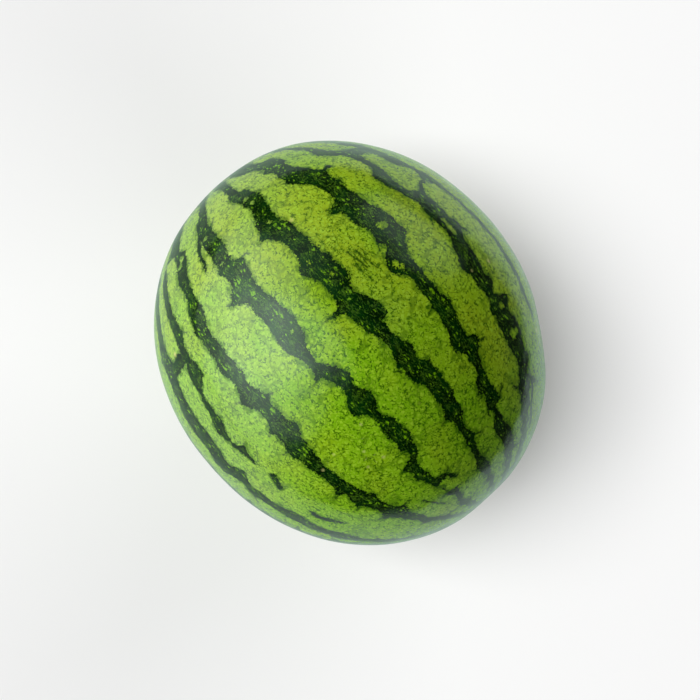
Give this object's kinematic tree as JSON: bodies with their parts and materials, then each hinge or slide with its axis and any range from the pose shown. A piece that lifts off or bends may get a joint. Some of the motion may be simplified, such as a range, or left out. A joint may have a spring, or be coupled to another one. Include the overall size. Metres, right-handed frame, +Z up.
{
  "type": "watermelon",
  "caption": "Round-oval striped watermelon lying on its belly, with a dimpled stem end, a small blossom-end button and a flat resting spot.",
  "frame": {"origin": "on the surface that the fruit rests on, under the middle of its box", "axes": "+X from the stem end to the blossom end, which is raised by 9 degrees; +Z up from the surface"},
  "size_m": [0.22, 0.1994, 0.2],
  "materials": {
    "rind": "smooth waxy rind, satin, light green with dark green stripes"
  },
  "bodies": {
    "root": {"watermelon": "rind"}
  },
  "joints": []
}
